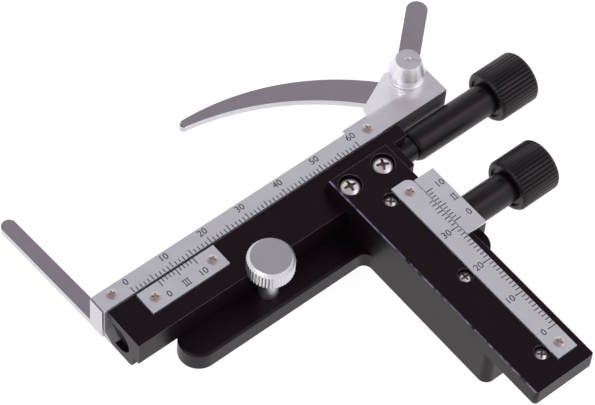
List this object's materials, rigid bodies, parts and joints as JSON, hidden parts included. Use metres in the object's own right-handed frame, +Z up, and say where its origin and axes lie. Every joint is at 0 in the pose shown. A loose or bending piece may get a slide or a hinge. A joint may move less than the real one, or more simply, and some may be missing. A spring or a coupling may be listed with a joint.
{
  "type": "microscope mechanical stage",
  "caption": "Attachable mechanical stage: a screw-driven X slide with a fixed and a sprung finger holds a specimen slide, on a rack-driven Y bar, with millimetre scales and verniers.",
  "frame": {"origin": "on the clamp screw's axis, in the plane of the clamp arm's underside, which sits on the microscope's stage", "axes": "+X along the X scale towards the knobs, +Y along the Y bar towards the specimen slide, +Z up along the clamp screw"},
  "size_m": [0.1128, 0.1046, 0.0243],
  "materials": {
    "black_paint": "satin black",
    "knob_black": "satin black",
    "scale_plate": "matte nickel with black graduations",
    "steel": "machined",
    "finger_steel": "brushed",
    "bright_block": "fine machined",
    "chrome": "polished",
    "screw_nickel": "bright nickel",
    "brass": "machined"
  },
  "bodies": {
    "base": {"base_bracket": "black_paint", "y_vernier_plate": "scale_plate", "y_shaft_bush": "brass"},
    "clamp_screw": {"clamp_screw_head": "chrome", "clamp_screw_stud": "steel"},
    "y_carriage": {"y_bar": "black_paint", "y_bar_screws": "screw_nickel", "housing_screws": "screw_nickel", "y_scale_plate": "scale_plate", "y_scale_screws": "screw_nickel", "y_dovetail": "steel", "y_rack": "brass", "x_housing": "black_paint", "x_vernier_plate": "scale_plate", "x_vernier_screws": "screw_nickel", "lead_screw_left_bush": "brass", "lead_screw_right_bush": "brass"},
    "x_slide": {"x_slide_bar": "steel", "x_guide_rail": "brass", "x_half_nut": "brass", "half_nut_screws": "screw_nickel", "x_scale_plate": "scale_plate", "x_scale_screws": "screw_nickel", "fixed_finger": "finger_steel", "fixed_finger_screws": "screw_nickel", "clamp_block": "bright_block", "clamp_block_screws": "screw_nickel", "clamp_spring": "steel"},
    "slide_clamp": {"clamp_hub": "chrome", "clamp_spindle": "steel", "clamp_lever": "finger_steel", "curved_finger": "finger_steel", "curved_finger_screw": "screw_nickel"},
    "x_drive": {"x_lead_screw": "steel", "x_sleeve": "knob_black", "x_knob": "knob_black", "x_grub_screw": "screw_nickel"},
    "y_drive": {"y_shaft": "steel", "y_pinion": "brass", "y_sleeve": "knob_black", "y_knob": "knob_black", "y_grub_screw": "screw_nickel"}
  },
  "joints": [
    {"name": "y_slide", "type": "slide", "parent": "base", "child": "y_carriage", "axis": [0, 1, 0], "range_m": [0, 0.0315]},
    {"name": "x_slide", "type": "slide", "parent": "y_carriage", "child": "x_slide", "axis": [1, 0, 0], "range_m": [-0.0545, 0.0054]},
    {"name": "clamp_swing", "type": "hinge", "parent": "x_slide", "child": "slide_clamp", "pos_m": [0.05485, 0.021, 0], "axis": [0, 0, -1], "range_deg": [0, 35], "stiffness_Nm_per_rad": 0.05, "springref_deg": -28.65},
    {"name": "x_drive", "type": "hinge", "parent": "y_carriage", "child": "x_drive", "pos_m": [0, 0.00905, 0.0066], "axis": [1, 0, 0], "range_deg": [-165, 1640]},
    {"name": "y_drive", "type": "hinge", "parent": "base", "child": "y_drive", "pos_m": [0, -0.0111, 0.0066], "axis": [1, 0, 0], "range_deg": [-517, 1]},
    {"name": "clamp_screw", "type": "hinge", "parent": "base", "child": "clamp_screw", "pos_m": [0, 0, 0], "axis": [0, 0, 1], "continuous": true}
  ],
  "couplings": [
    {"joint": "x_drive", "follows": "x_slide", "rad_per_m": -523.6},
    {"joint": "y_drive", "follows": "y_slide", "rad_per_m": -285.71}
  ]
}
